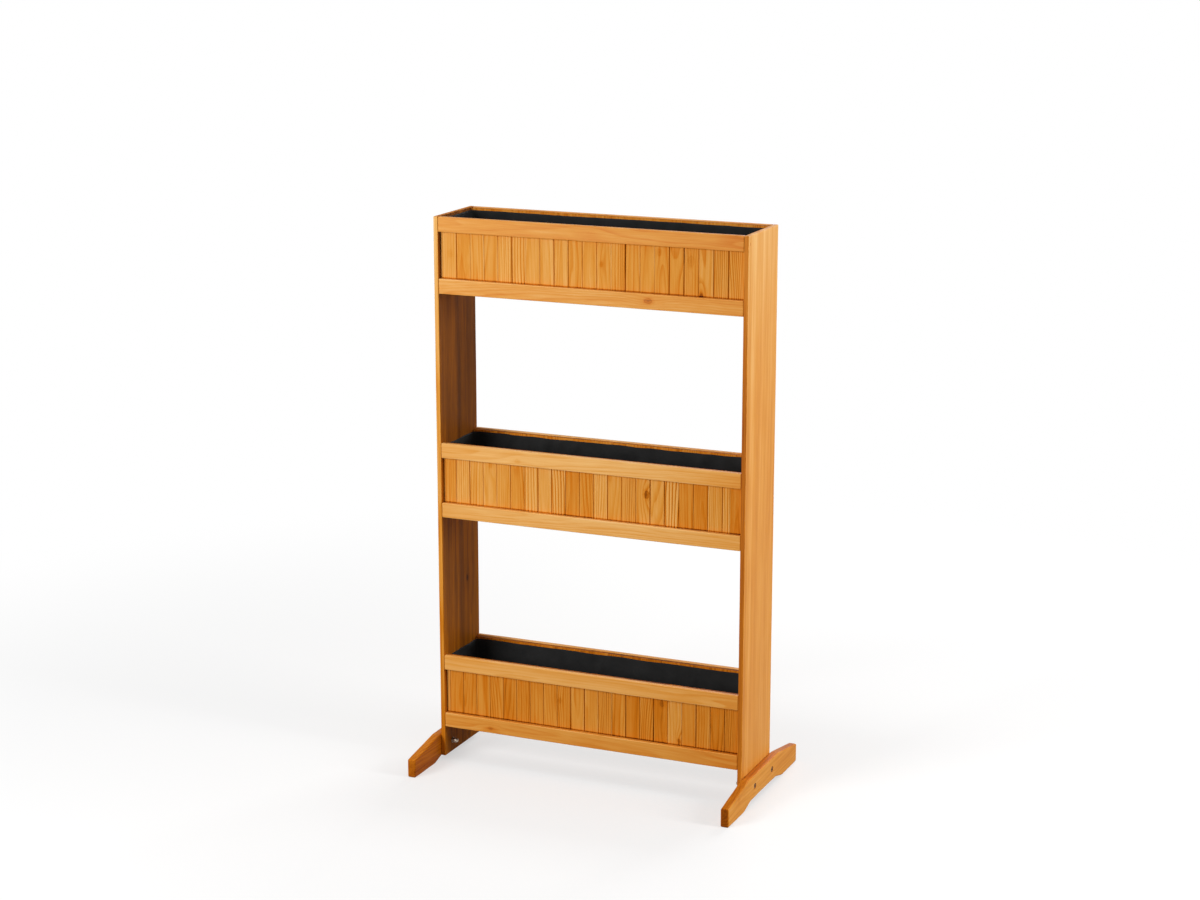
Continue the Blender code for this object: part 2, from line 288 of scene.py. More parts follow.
def softwood_figure():
    """A node group: the distance from the pith, bent a little by noise and pushed out round a knot, counted
    in rings. The late wood grows dark over most of a ring and ends in a sharp line, and a board's "ringed"
    says how many times as strong as usual it is there."""
    tree = bpy.data.node_groups.new("softwood_figure", "ShaderNodeTree")
    graph = Graph(tree)
    log = graph.attribute("log")
    knot_x, knot_z, strength = graph.split(graph.attribute("knot"))
    from_knot = graph.math("SQRT", graph.total(0.0, (knot_x, knot_x), (knot_z, knot_z)))
    ragged = graph.total(0.60, (0.8, graph.noise(log, (260, 260, 160), 2.0)))
    from_knot = graph.math("MULTIPLY", from_knot, ragged)
    beside = graph.math("MULTIPLY", knot_x, -SWELL_ACROSS)
    beyond = graph.math("MULTIPLY", knot_z, -SWELL_ALONG)
    spindle = graph.total(0.0, (beside, knot_x), (beyond, knot_z))
    swell = graph.math("MULTIPLY", graph.math("POWER", math.e, spindle), strength)
    bend = graph.vector("SUBTRACT", graph.noise(log, (16, 16, 2.6), 2.0, "Color"), (0.5, 0.5, 0.5))
    bend = graph.vector("MULTIPLY", bend, (RING_WANDER * 2, RING_WANDER * 2, 0))
    across = graph.vector("MULTIPLY", graph.vector("ADD", log, bend), (1, 1, 0))
    from_pith = graph.vector("LENGTH", across, output="Value")
    uneven = graph.noise(log, (70, 70, 3.0), 1.0)
    count = graph.total(0.0, (1 / RING_WIDTH, from_pith), (RING_UNEVENNESS, uneven), (KNOT_SWELL, swell))
    ring = graph.math("FRACT", count)
    late = graph.ramp(ring, [(0.0, 0.10), (0.45, 0.12), (0.80, 0.85), (0.93, 1.0), (1.0, 0.10)])
    clear = graph.ramp(graph.noise(log, (22, 22, 1.6), 1.0), [(0.30, 0.25), (0.62, 1.0)])
    fibre = graph.noise(log, (950, 950, 14), 3.0)
    streak = graph.noise(log, (210, 210, 2.2), 2.0)
    patch = graph.noise(log, (26, 26, 7), 3.0)
    band = graph.noise(log, (36, 36, 0.6), 3.0)
    from_heart = graph.math("MULTIPLY", from_knot, 1 / KNOT_FADE)
    depths = [(0.0, 1.0), (0.16, 0.85), (0.34, 0.60), (0.48, 0.85), (0.60, 0.30), (1.0, 0.0)]
    heart = graph.math("MULTIPLY", graph.ramp(from_heart, depths), strength)
    late = graph.total(-LATE_SHARE, (clear, late))
    late = graph.total(LATE_SHARE, (graph.attribute("ringed", "Fac"), late))
    outputs = {"Late wood": late, "Fibre": fibre, "Streak": streak, "Band": band}
    outputs.update({"Patch": patch, "Knot": heart, "Swirl": swell})
    end = tree.nodes.new("NodeGroupOutput")
    for name, value in outputs.items():
        tree.interface.new_socket(name, in_out="OUTPUT", socket_type="NodeSocketFloat")
        graph.put(end.inputs[name], value)
    return tree


figure = softwood_figure()
print(len(figure.nodes), "nodes draw the tree")

# %% [markdown]
# One scale of stain, from deep brown to almost bare, has three near shades: redder for the rails, slats
# and floors, and a darker, duller copy for the left panel, which paints in the shade on its inner face. A
# board's tone, its rings and fibres, the paler arrises, partly from handling and partly painted highlight,
# the stain that pools in a joint, the painted shade beside the rails and in the bores, and the thirsty end
# grain all move a point along it, so the colours always stay in one family.

# %% Stained softwood
STAINS = {
    0.00: (80, 33, 3),
    0.22: (160, 81, 10),
    0.42: (201, 117, 26),
    0.60: (224, 150, 62),
    0.80: (239, 181, 105),
    1.00: (249, 209, 152),
}
RED_STAINS = {**STAINS, 0.22: (157, 85, 18), 0.42: (209, 118, 26)}
# A darker, duller copy of the scale for the left panel: painted shade for its shaded inner face.
SHADED_STAINS = {**STAINS, 0.00: (62, 35, 13), 0.22: (143, 82, 26)}


def stained_wood(name, stains, depth, rings, bands, roughness, gloss):
    """A wood material. Depth is the place on the stain scale, and rings and bands say how much they show."""
    graph, shader, material = new_material(name)
    tree = graph.node("ShaderNodeGroup", None, node_tree=figure).outputs
    tone, wear_and_highlight, pool_and_shade = graph.split(graph.attribute("finish"))
    cut = graph.attribute("cut", "Fac")
    # Paler arrises, partly from handling and partly painted highlight.
    rubbed_and_highlight = graph.math("MULTIPLY", wear_and_highlight, graph.ramp(tree["Patch"], [(0.32, 0.35), (0.62, 1.0)]))
    noises = {"Fibre": 0.26, "Streak": 0.20, "Patch": 0.14, "Band": bands}
    stain = graph.total(
        depth + LATE_SHARE * rings - 0.5 * sum(noises.values()),
        (0.20, tone),
        (-rings, tree["Late wood"]),
        *[(amount, tree[kind]) for kind, amount in noises.items()],
        (0.17, rubbed_and_highlight),
        # Stain that pools in joints darkens them, and the same attribute carries painted shade beside the
        # rails and in the bores.
        (-0.42, pool_and_shade),
        (-0.30, cut),
        (-0.27, tree["Knot"]),
        (-0.06, tree["Swirl"]),
    )
    scale = [(place, from_screen(*colour)) for place, colour in stains.items()]
    graph.put(shader.inputs["Base Color"], graph.ramp(stain, scale))
    dulled = ((0.14, tree["Fibre"]), (-0.07, tree["Late wood"]), (0.12, rubbed_and_highlight), (0.15, cut))
    dull = graph.total(roughness, *dulled)
    graph.put(shader.inputs["Roughness"], dull)
    height = graph.total(0.0, (0.55, tree["Late wood"]), (0.50, tree["Fibre"]), (0.35, tree["Knot"]))
    graph.bump(shader, height, 0.35, 0.0004)
    shader.inputs["Specular IOR Level"].default_value = gloss
    return material


# Each wood's stains, depth, rings, bands, roughness and gloss.
WOOD_FACTS = {
    "panel_wood": (STAINS, 0.60, 0.15, 0.46, 0.46, 0.14),
    "left_panel_shaded_wood": (SHADED_STAINS, 0.60, 0.15, 0.46, 0.50, 0.035),
    "rail_wood": (RED_STAINS, 0.60, 0.14, 0.20, 0.44, 0.22),
    "board_wood": (RED_STAINS, 0.52, 0.18, 0.17, 0.46, 0.035),
    "foot_wood": (STAINS, 0.52, 0.16, 0.24, 0.46, 0.07),
    "plain_wood": (RED_STAINS, 0.60, 0.16, 0.16, 0.66, 0.08),
}
WOODS = {wood: stained_wood(wood, *facts) for wood, facts in WOOD_FACTS.items()}
print("woods:", ", ".join(WOODS))

# %% [markdown]
# ## A board with rounded arrises
#
# A planed board is a box whose corners the maker breaks with sandpaper. A cube with a Bevel would do, but
# all its edges would be alike. Here a rounded rectangle is carried along the board instead: its size may
# change on the way, which also gives the feet their bow and arch, and its corner radius wanders a little.

# %% Rings along a board
SUPPORT = 0.0006
NEVER = 10.0


def smooth_step(low, high, value):
    """0 below low, 1 above high, and an even S between them."""
    part = np.clip((value - low) / (high - low), 0, 1)
    return part * part * (3 - 2 * part)


def places_along(low, high, ease, count):
    """Rings along a board: one on each end face, some that roll over its arris, and even ones between.
    A ring at an angle lies ease times one minus the sine from the end, and is drawn in by ease times one
    minus the cosine."""
    turn = np.radians([90.0, 90.0, 60.0, 30.0, 0.0, 0.0])
    into = ease * (1 - np.sin(turn)) + SUPPORT * np.array([0, 0, 0, 0, 0, 1])
    inset = ease * (1 - np.cos(turn)) + SUPPORT * np.array([1, 0, 0, 0, 0, 0])
    middle = np.linspace(low + into[-1], high - into[-1], count + 2)[1:-1]
    places = np.concatenate([low + into, middle, high - into[::-1]])
    return places, np.concatenate([inset, 0 * middle, inset[::-1]])


def rounded_sections(a_low, a_high, b_low, b_high, radius):
    """Rounded rectangles, one for each ring: at every corner five points on a quarter circle, and one on
    each flat beside it, which keeps the flats flat in the shading."""
    turn = np.radians([0, 0, 22.5, 45, 67.5, 90, 90])
    first, last = np.eye(7)[0], np.eye(7)[-1]
    sections = []
    for quarter, (side_a, side_b) in enumerate([(1, 1), (-1, 1), (-1, -1), (1, -1)]):
        cosine, sine = math.cos(quarter * math.pi / 2), math.sin(quarter * math.pi / 2)
        corner_a = np.where(side_a > 0, a_high - radius, a_low + radius)[:, None]
        corner_b = np.where(side_b > 0, b_high - radius, b_low + radius)[:, None]
        out = radius[:, None] * np.cos(turn) - SUPPORT * last
        on = radius[:, None] * np.sin(turn) - SUPPORT * first
        turned_a = corner_a + out * cosine - on * sine
        turned_b = corner_b + out * sine + on * cosine
        sections.append(np.stack([turned_a, turned_b], axis=-1))
    return np.concatenate(sections, axis=1)


def ring_faces(rings, around, capped=True):
    """Quads that join each ring of points to the next, right round, and one face on either end if capped."""
    ring, step = np.meshgrid(np.arange(rings - 1), np.arange(around), indexing="ij")
    here = ring * around + step
    beside = ring * around + (step + 1) % around
    quads = np.stack([here, beside, beside + around, here + around], axis=-1).reshape(-1, 4)
    last = (rings - 1) * around
    caps = [list(range(around)), list(range(last, last + around))] if capped else []
    return quads.tolist() + caps


print("a board's section has", rounded_sections(*np.array([[0], [1], [0], [1], [0.1]])).shape[1], "points")

# %% [markdown]
# A piece is finished in the same few steps whatever its shape: its mesh is made from the arrays, doubles
# are merged, the faces are turned outwards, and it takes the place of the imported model's node.

# %% From arrays to pieces


def new_mesh(name, points, faces, attributes=None):
    """A mesh with doubles merged and faces outwards, whose attributes go through the merge with it."""
    mesh = bpy.data.meshes.new(name)
    mesh.from_pydata(np.reshape(points, (-1, 3)).tolist(), [], faces)
    set_attributes(mesh, attributes or {})
    shape = bmesh.new()
    shape.from_mesh(mesh)
    bmesh.ops.remove_doubles(shape, verts=shape.verts, dist=1e-7)
    bmesh.ops.recalc_face_normals(shape, faces=shape.faces)
    shape.to_mesh(mesh)
    shape.free()
    return mesh


def set_attributes(mesh, attributes):
    for name, values in attributes.items():
        kind, key = ("FLOAT_VECTOR", "vector") if np.ndim(values) == 2 else ("FLOAT", "value")
        mesh.attributes.new(name, kind, "POINT").data.foreach_set(key, np.ravel(values).astype(np.float32))


def new_piece(name, mesh, nodes, material, crease=38):
    """An object that stands for these nodes of the frame, shaded smooth but for edges sharper than crease."""
    mesh.shade_smooth()
    mesh.set_sharp_from_angle(angle=math.radians(crease))
    mesh.materials.clear()
    mesh.materials.append(material)
    piece = add_object(name, mesh)
    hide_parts(*nodes)
    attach(piece, "root")
    return piece


def points_of(mesh):
    flat = np.empty(len(mesh.vertices) * 3, np.float32)
    mesh.vertices.foreach_get("co", flat)
    return flat.reshape(-1, 3).astype(float)


def node_box(name):
    low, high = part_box(name)
    return np.array(low), np.array(high)


def chance_for(name):
    """Random numbers that are the same in every run for one name."""
    return np.random.default_rng([ord(letter) for letter in name])


print("a panel's box:", *node_box("side_panel_right"))

# %% [markdown]
# Where a point lay in the tree follows from its place in the board by a shift and a slight lean, because
# no board is sawn quite along the trunk. The lean is what draws long pointed arches on a flat face. The
# knot's attribute counts from its centre in knot radii, so the material only has to measure a length.

# %% Where a board lay in the tree


def tree_place(across, through, along, width, chance):
    """The shift and the lean, as whole arrays: across and through from the pith, and along the trunk."""
    beside = chance.uniform(-0.6, 0.6) * width
    deep = chance.choice([-1, 1]) * chance.uniform(0.010, 0.045)
    lean = chance.normal(0, 0.016, 2)
    growth = chance.uniform(0.55, 1.25)
    x = (across + beside + lean[0] * along) * growth
    y = (through + deep + lean[1] * along) * growth
    return np.stack([x, y, along + chance.uniform(0, 40)], axis=1)


def knot_place(across, along, knot):
    """Distances from the knot's centre, in knot radii, and how strongly it shows. A knot is (across, along,
    radius, strength), or None."""
    beside, up, radius, strength = knot or (NEVER, NEVER, 1.0, 0.0)
    return np.stack([(across - beside) / radius, (along - up) / radius / 1.5, strength + 0 * along], axis=1)


def wander(along, chance, waves=4.0):
    """A slow uneven line between about -1 and 1: three sines of random length and start."""
    size = np.ptp(along) + 1e-9
    turns = chance.uniform(0.5, waves, 3)[:, None] * 2 * math.pi * (along - along.min()) / size
    return np.sin(turns + chance.uniform(0, 6.28, 3)[:, None]).mean(axis=0)


print("lean and shift are drawn by name:", chance_for("side_panel_left").normal(0, 0.016, 2))

# %% A board from its box
AXES = {"x": 0, "y": 1, "z": 2}
BORE_SHADE = 0.0004


def board_mesh(name, along, across, ease, count, outline=None):
    """A rounded rectangle carried along a node's box. An outline gives its low and high edge on the way."""
    s, a = AXES[along], AXES[across]
    b = 3 - s - a
    low, high = node_box(name)
    places, inset = places_along(low[s], high[s], ease, count)
    a_low, a_high = outline(places) if outline else (low[a] + 0 * places, high[a] + 0 * places)
    chance = chance_for(name)
    radius = ease * (1 + 0.25 * wander(places, chance, 9.0))
    radius = np.maximum(radius - inset, 0.15 * ease)
    worn = 0.00012 * (1 + wander(places, chance))
    b_low, b_high = low[b] + inset, high[b] - inset - worn
    sections = rounded_sections(a_low + inset + worn, a_high - inset, b_low, b_high, radius)
    points = np.empty((*sections.shape[:2], 3))
    points[..., s] = places[:, None]
    points[..., a] = sections[..., 0]
    points[..., b] = sections[..., 1]
    return new_mesh(name + "_sawn", points, ring_faces(*sections.shape[:2]))


# %% What the stain, handling and painted light and shade did to a board
PLAIN_LOOK = {"tone": 0.0, "edges": (0, 0), "faces": (0, 0), "ends": 1.0, "fade": (0, 0), "knot": None}


def finish_board(mesh, name, along, across, ease, look, outline=None, bores=()):
    """The attributes of a board's points, all worked out from where they lie. A point is worn where it is
    close to two faces at once, which lightens it, partly from handling and partly as painted highlight, and
    cut across the grain close to an end. A look gives the tone, what the low and high edges and faces add to
    it, how dark the ends are, how the tone fades towards the low and high end, and a knot. What an edge or a
    face adds is a number, or one for each end. The bores, which are (across, along, radius), are darkened
    as painted shade of the counterbores. The rings show at their usual strength."""
    look = {**PLAIN_LOOK, **look}
    s, a = AXES[along], AXES[across]
    b = 3 - s - a
    low, high = node_box(name)
    middle = (low + high) / 2
    points = points_of(mesh)
    a_low, a_high = outline(points[:, s]) if outline else (low[a], high[a])
    to_low, to_high = points[:, a] - a_low, a_high - points[:, a]
    to_face = np.minimum(points[:, b] - low[b], high[b] - points[:, b])
    to_end = np.minimum(points[:, s] - low[s], high[s] - points[:, s])
    second = np.sort([np.minimum(to_low, to_high), to_face, to_end], axis=0)[1]
    # Arrises are made paler, partly from handling and partly as painted highlight.
    wear_and_highlight = 1 - smooth_step(0.3 * ease, 0.95 * ease, second)
    centred = points - middle
    part_way = 2 * centred[:, s] / (high[s] - low[s])
    toned = look["tone"] + 0 * wear_and_highlight
    for tones, distances in (
        (look["edges"], (to_low, to_high)),
        (look["faces"], (points[:, b] - low[b], high[b] - points[:, b])),
    ):
        for change, distance in zip(tones, distances):
            change = np.interp(part_way, (-1, 1), np.broadcast_to(change, 2))
            toned += change * (1 - smooth_step(0, ease, distance))
    toned += look["fade"][0] * np.clip(-part_way, 0, 1) ** 2 + look["fade"][1] * np.clip(part_way, 0, 1) ** 2
    pool_and_shade = 0 * wear_and_highlight
    # The bores are darkened: painted shade of the counterbores.
    for bore_a, bore_s, radius in bores:
        from_axis = np.hypot(points[:, a] - bore_a, points[:, s] - bore_s)
        pool_and_shade = np.maximum(pool_and_shade, (from_axis < radius) & (to_face > BORE_SHADE))
    place = [centred[:, axis] for axis in (a, b, s)]
    set_attributes(
        mesh,
        {
            "log": tree_place(*place, high[a] - low[a], chance_for(name)),
            "knot": knot_place(place[0], place[2], look["knot"]),
            "finish": np.stack([toned, wear_and_highlight, pool_and_shade], axis=1),
            "cut": look["ends"] * (1 - smooth_step(0, ease, to_end)),
            "ringed": 1.0 + 0 * wear_and_highlight,
        },
    )


print("boards run along", ", ".join(AXES))

# %% [markdown]
# ## Side panels, rails and trough floors
#
# These are all straight boards, so one table says how each kind runs, and a loop builds them. The tones
# follow the photograph: the front edge of the left panel took little stain, that of the right one took
# a lot, and the troughs get deeper in colour from the top down, which is painted shade for the light that
# falls off towards the bottom.

# %% Straight boards
TIERS = ("top", "middle", "bottom")
WALLS = ("front", "back")
SIDES = ("left", "right")
PANEL_EASE = 0.0010
RAIL_EASE = 0.0015
SAWN_EASE = 0.0005
# For the top rail and the bottom one: the tone, and what it adds towards the left and the right end.
RAIL_TONES = {
    "top": ((-0.12, 0.05, -0.40), (-0.02, 0.1, -0.40)),
    "middle": ((0.80, -0.10, -1.00), (0.64, -0.50, -0.55)),
    "bottom": ((0.18, 0.1, -0.35), (-0.20, 0.1, -0.55)),
}
# Each tier's tone for its back boards. The deeper tones lower down are painted shade, for the light that
# falls off towards the bottom.
BOARD_TONES_WITH_SHADE = {"top": 0.25, "middle": 0.15, "bottom": -0.30}
RAIL_KNOTS = {
    "top_front_top_rail": (0.002, 0.01, 0.0060, 0.12),
    "top_front_bottom_rail": (0.002, 0.135, 0.0055, 1.1),
    "middle_front_top_rail": (-0.006, -0.16, 0.0040, 0.35),
    "middle_back_top_rail": (-0.005, -0.12, 0.0045, 1.0),
    "bottom_front_bottom_rail": (-0.005, -0.23, 0.0035, 0.6),
    "bottom_back_bottom_rail": (0.004, 0.18, 0.0050, 1.0),
}


def build_board(name, slot, along, across, ease, count, look):
    mesh = board_mesh(name, along, across, ease, count)
    finish_board(mesh, name, along, across, ease, look)
    return new_piece(name + "_sawn", mesh, [name], WOODS[slot])


def build_rails():
    made = []
    for tier in TIERS:
        for wall in WALLS:
            for level, (tone, *fade) in zip(("top", "bottom"), RAIL_TONES[tier]):
                name = f"{tier}_{wall}_{level}_rail"
                tone = tone + chance_for(name).uniform(-0.10, 0.10)
                look = {"tone": tone, "fade": fade, "knot": RAIL_KNOTS.get(name)}
                made.append(build_board(name, "rail_wood", "x", "z", RAIL_EASE, 40, look))
    return made


def build_trough_floors():
    made = []
    for tier in TIERS:
        for index in (1, 2, 3):
            board, bearer = f"{tier}_floor_board_{index}", f"{tier}_bearer_{index}"
            look = {"tone": chance_for(board).uniform(-0.5, 0.5)}
            made.append(build_board(board, "plain_wood", "x", "y", SAWN_EASE, 24, look))
            made.append(build_board(bearer, "plain_wood", "y", "x", SAWN_EASE, 8, look))
    return made


print(len(build_rails()), "rails,", len(build_trough_floors()), "floor boards and bearers")

# %% [markdown]
# ## Turned shapes
#
# Bolts, washers, domed nuts and the drill that makes their holes are all turned: a profile goes round an
# axis. A hexagon fits the same formula, because at each angle its distance from the axis is known, and
# the shape's radius there is the smaller of the two. A spanner's flats and the hexagon socket then come
# out of one grid, with the round chamfer that real nuts have across their corners.

# %% Turned shapes
ROUND = 10.0
TURN_STEPS = 48


def rounds(*rows):
    """Rows of a round profile, from pairs of (radius, height)."""
    return [(*row, ROUND) for row in rows]


def turned_mesh(name, rows, start, direction):
    """Rows of (radius, height, flat) turned about a line along X: height counts from the start in the
    direction, and flat is half the width across a hexagon's flats, or ROUND."""
    radius, height, flat = np.array(rows, float).T[:, :, None]
    angle = np.linspace(0, 2 * math.pi, TURN_STEPS, endpoint=False)[None, :]
    from_flat = (angle + math.pi / 6) % (math.pi / 3) - math.pi / 6
    reach = np.minimum(radius, flat / np.cos(from_flat))
    points = np.stack(
        [
            start[0] + direction * (height + 0 * angle),
            start[1] + reach * np.cos(angle),
            start[2] + reach * np.sin(angle),
        ],
        axis=-1,
    )
    return new_mesh(name, points, ring_faces(*points.shape[:2], capped=False))


BOLT_DIAMETER = 0.006
HEAD_HEIGHT = 0.006
HEAD_CLEARANCE = 0.001
HOLE_CLEARANCE = 0.0004
HEAD_PLAY = 0.0003
DRILL_REACH = 0.04
BORE_CHAMFER = 0.0008
print("a turned row has", TURN_STEPS, "points")

# %% [markdown]
# ## Panels and feet
#
# The bolts go through foot and panel, and their heads sit in a counterbore. A hole drilled in a mesh of
# long quads is the one job here that a formula does badly, so a turned drill cuts it with a Boolean, and
# the attributes are worked out afterwards from where each point lies.
#
# A foot is cut from one plank: low at its ends, bowed up to a flat middle that the panel stands behind,
# with an arch below so that only its two pads touch the ground. It is the same rounded rectangle carried
# along, with its upper and lower edge given by two lines whose corners are softened by averaging.

# %% Panels and feet
FOOT_EASE = 0.0030
FOOT_FLAT_TOP = 0.190
PAD_LENGTH = 0.094
ARCH_SLOPE_LENGTH = 0.040
ARCH_HEIGHT = 0.0105
FOOT_END_HEIGHT = 0.040
CORNER_SOFTNESS = 0.005
# The inner faces of both panels are darker, the left one's most and more so towards its top: painted shade
# between the panels.
PANEL_LOOKS = {
    "left": {
        "edges": ((-1.0, 0.7), -0.3),
        "faces": (0, (-1.4, -2.2)),
        "ends": 0.5,
        "knot": (0.03, -0.22, 0.004, 0.8),
    },
    "right": {
        "tone": -0.18,
        "edges": ((-0.67, -1.47), -0.6),
        "faces": (-0.4, 0),
        "fade": (0, 0.85),
        "ends": 0.5,
        "knot": (-0.079, 0.577, 0.0018, 1),
    },
}
# Both feet have a darker inner face and a darker top: painted shade.
FOOT_LOOKS = {
    "left": {
        "tone": -0.35,
        "edges": (-0.5, -0.4),
        "faces": (0, -1.0),
        "ends": 0.6,
        "knot": (0.004, 0.170, 0.0035, 0.8),
    },
    "right": {
        "tone": 0.25,
        "edges": (-0.5, -1.10),
        "faces": (-0.5, 0),
        "ends": 1.4,
        "knot": (0.008, -0.150, 0.0045, 0.4),
    },
}


def softened(places, corners, heights):
    """A line through the corners, averaged over a short stretch round each place."""
    nearby = np.abs(places[None, :] + np.linspace(-1, 1, 9)[:, None] * CORNER_SOFTNESS)
    return np.interp(nearby, corners, heights).mean(axis=0)


def foot_outline(places):
    """The low and the high edge of a foot at each place along it."""
    low, high = node_box("foot_right")
    end = high[1]
    pad = end - PAD_LENGTH
    arch = pad - ARCH_SLOPE_LENGTH
    under = softened(places, [0, arch, pad, end], [ARCH_HEIGHT, ARCH_HEIGHT, 0, 0])
    over = softened(places, [0, FOOT_FLAT_TOP / 2, end], [high[2], high[2], FOOT_END_HEIGHT])
    return under, over


def drill(mesh, side, name):
    """Cuts the two bolt holes of one side, with the counterbore for each head, and returns the new mesh."""
    piece = add_object(name, mesh)
    drills = []
    for end in ("front", "back"):
        low, high = node_box(f"bolt_{side}_{end}")
        sign = 1 if side == "right" else -1
        middle = (low + high) / 2
        head = high[0] if side == "right" else -low[0]
        wide, narrow = (high[2] - low[2]) / 2 + HEAD_CLEARANCE, BOLT_DIAMETER / 2 + HOLE_CLEARANCE
        seat = head - HEAD_HEIGHT - HEAD_PLAY
        face = node_box(f"foot_{side}")[1 if sign > 0 else 0][0] * sign
        rows = rounds(
            (0, seat - DRILL_REACH),
            (narrow, seat - DRILL_REACH),
            (narrow, seat),
            (wide, seat),
            (wide, face - BORE_CHAMFER),
            (wide + 3 * BORE_CHAMFER, face + 2 * BORE_CHAMFER),
            (0, face + 2 * BORE_CHAMFER),
        )
        shape = turned_mesh(f"drill_{end}", rows, (0, middle[1], middle[2]), sign)
        cutter = add_object(f"drill_{end}", shape)
        cut = piece.modifiers.new("Bolt hole", "BOOLEAN")
        cut.object = cutter
        cut.solver = "EXACT"
        drills.append(cutter)
    graph = bpy.context.evaluated_depsgraph_get()
    drilled = bpy.data.meshes.new_from_object(piece.evaluated_get(graph))
    for obj in [piece, *drills]:
        bpy.data.objects.remove(obj)
    return drilled


def build_side(side):
    panel, foot = f"side_panel_{side}", f"foot_{side}"
    mesh = drill(board_mesh(panel, "z", "y", PANEL_EASE, 60), side, panel)
    finish_board(mesh, panel, "z", "y", PANEL_EASE, PANEL_LOOKS[side])
    # The left panel takes the darker copy of the stain, as painted shade.
    wood = WOODS["left_panel_shaded_wood" if side == "left" else "panel_wood"]
    made = [new_piece(panel + "_sawn", mesh, [panel], wood)]
    mesh = drill(board_mesh(foot, "y", "z", FOOT_EASE, 84, foot_outline), side, foot)
    # Where the counterbores are, for their painted shade.
    bores = []
    for end in ("front", "back"):
        low, high = node_box(f"bolt_{side}_{end}")
        middle, size = (low + high) / 2, high - low
        bores.append((middle[2], middle[1], size[2] / 2 + HEAD_CLEARANCE + BORE_SHADE))
    finish_board(mesh, foot, "y", "z", FOOT_EASE, FOOT_LOOKS[side], foot_outline, bores)
    made.append(new_piece(foot + "_sawn", mesh, [foot], WOODS["foot_wood"]))
    return made


for side_name in SIDES:
    print(side_name, [len(piece.data.polygons) for piece in build_side(side_name)], "faces")

# %% [markdown]
# ## Bolts, washers and domed nuts
#
# The screws are bright zinc plate: metal with a faint turned brushing and a slightly uneven sheen. The
# bolt heads are browned, as painted shade of the counterbores they sit in.

# %% Zinc plate
STEEL_COLOURS = [(0.3, from_screen(150, 138, 124)), (0.7, from_screen(188, 174, 158))]
# The brown laid over the bolt heads: painted shade of the counterbores.
BORE_SHADE_ON_STEEL = (*from_screen(104, 72, 44), 1.0)


def zinc_plate():
    graph, shader, material = new_material("zinc_plated_steel")
    place = graph.node("ShaderNodeTexCoord", "Object")
    cloudy = graph.noise(place, (500, 500, 500), 2.0)
    brushed = graph.noise(place, (9000, 700, 700), 2.0)
    # The bolts' share of that brown, as painted shade.
    shaded_in_bore = graph.attribute("shaded_in_bore", "Fac")
    share = graph.math("MULTIPLY", shaded_in_bore, graph.total(0.6, (0.5, cloudy)))
    mixed = graph.node("ShaderNodeMix", None, data_type="RGBA")
    for socket, value in ((0, share), (6, graph.ramp(cloudy, STEEL_COLOURS)), (7, BORE_SHADE_ON_STEEL)):
        graph.put(mixed.inputs[socket], value)
    graph.put(shader.inputs["Base Color"], mixed.outputs[2])
    graph.put(shader.inputs["Roughness"], graph.total(0.20, (0.22, cloudy), (0.2, shaded_in_bore)))
    graph.bump(shader, brushed, 0.25, 0.0001)
    shader.inputs["Metallic"].default_value = 1.0
    return material


# %% Bolts, washers and domed nuts
HEAD_RADIUS = 0.005
HEAD_EASE = 0.0006
KNURL = 0.00012
SOCKET_FLAT = 0.0025
SOCKET_DEPTH = 0.003
WASHER_HOLE = 0.0033
NUT_FLAT = 0.005
NUT_CORNER = 0.0057
NUT_HEX_HEIGHT = 0.005
DOME_RADIUS = 0.0047


def bolt_rows(length):
    """From the tip to the head and down into its socket. The head's side is a little knurled."""
    shank = BOLT_DIAMETER / 2
    under = length - HEAD_HEIGHT
    knurls = np.linspace(under + 0.0006, length - 0.0012, 9)
    side = rounds(*[(HEAD_RADIUS - KNURL * (index % 2), height) for index, height in enumerate(knurls)])
    turn = np.radians([0, 30, 60, 90])
    rim_radii = HEAD_RADIUS - HEAD_EASE * (1 - np.cos(turn))
    rim = rounds(*zip(rim_radii, length - HEAD_EASE * (1 - np.sin(turn))))
    bottom = length - SOCKET_DEPTH
    flats = [(0.0029, length - 0.0002, SOCKET_FLAT), (0.0029, bottom, SOCKET_FLAT)]
    socket = rounds((0.0032, length)) + flats + rounds((0.0012, bottom - 0.0005), (0, bottom - 0.0008))
    stem = rounds((0, 0), (shank - 0.0006, 0), (shank, 0.0006), (shank, under))
    return stem + rounds((HEAD_RADIUS - 0.0003, under), (HEAD_RADIUS, under + 0.0003)) + side + rim + socket


def washer_rows(thickness):
    """Round a closed ring: its four corners, each broken a little."""
    inner, outer, ease = WASHER_HOLE, 0.006, 0.0002
    return rounds(
        (inner + ease, 0),
        (outer - ease, 0),
        (outer, ease),
        (outer, thickness - ease),
        (outer - ease, thickness),
        (inner + ease, thickness),
        (inner, thickness - ease),
        (inner, ease),
        (inner + ease, 0),
    )


def nut_rows(height):
    """A chamfered hexagon with a dome on it, and the blind bore from below."""
    bore, shoulder = 0.0033, height - DOME_RADIUS
    turn = np.radians(np.linspace(0, 90, 10))
    dome = [(DOME_RADIUS * math.cos(t), shoulder + DOME_RADIUS * math.sin(t), ROUND) for t in turn]
    return [
        (0, 0.0068, ROUND),
        (bore, 0.0068, ROUND),
        (bore, 0.0003, ROUND),
        (bore + 0.0003, 0, ROUND),
        (NUT_FLAT - 0.0002, 0, ROUND),
        (NUT_CORNER, 0.0005, NUT_FLAT),
        (NUT_CORNER, NUT_HEX_HEIGHT - 0.0005, NUT_FLAT),
        (NUT_FLAT - 0.0001, NUT_HEX_HEIGHT, ROUND),
        (DOME_RADIUS + 0.0001, NUT_HEX_HEIGHT, ROUND),
    ] + dome


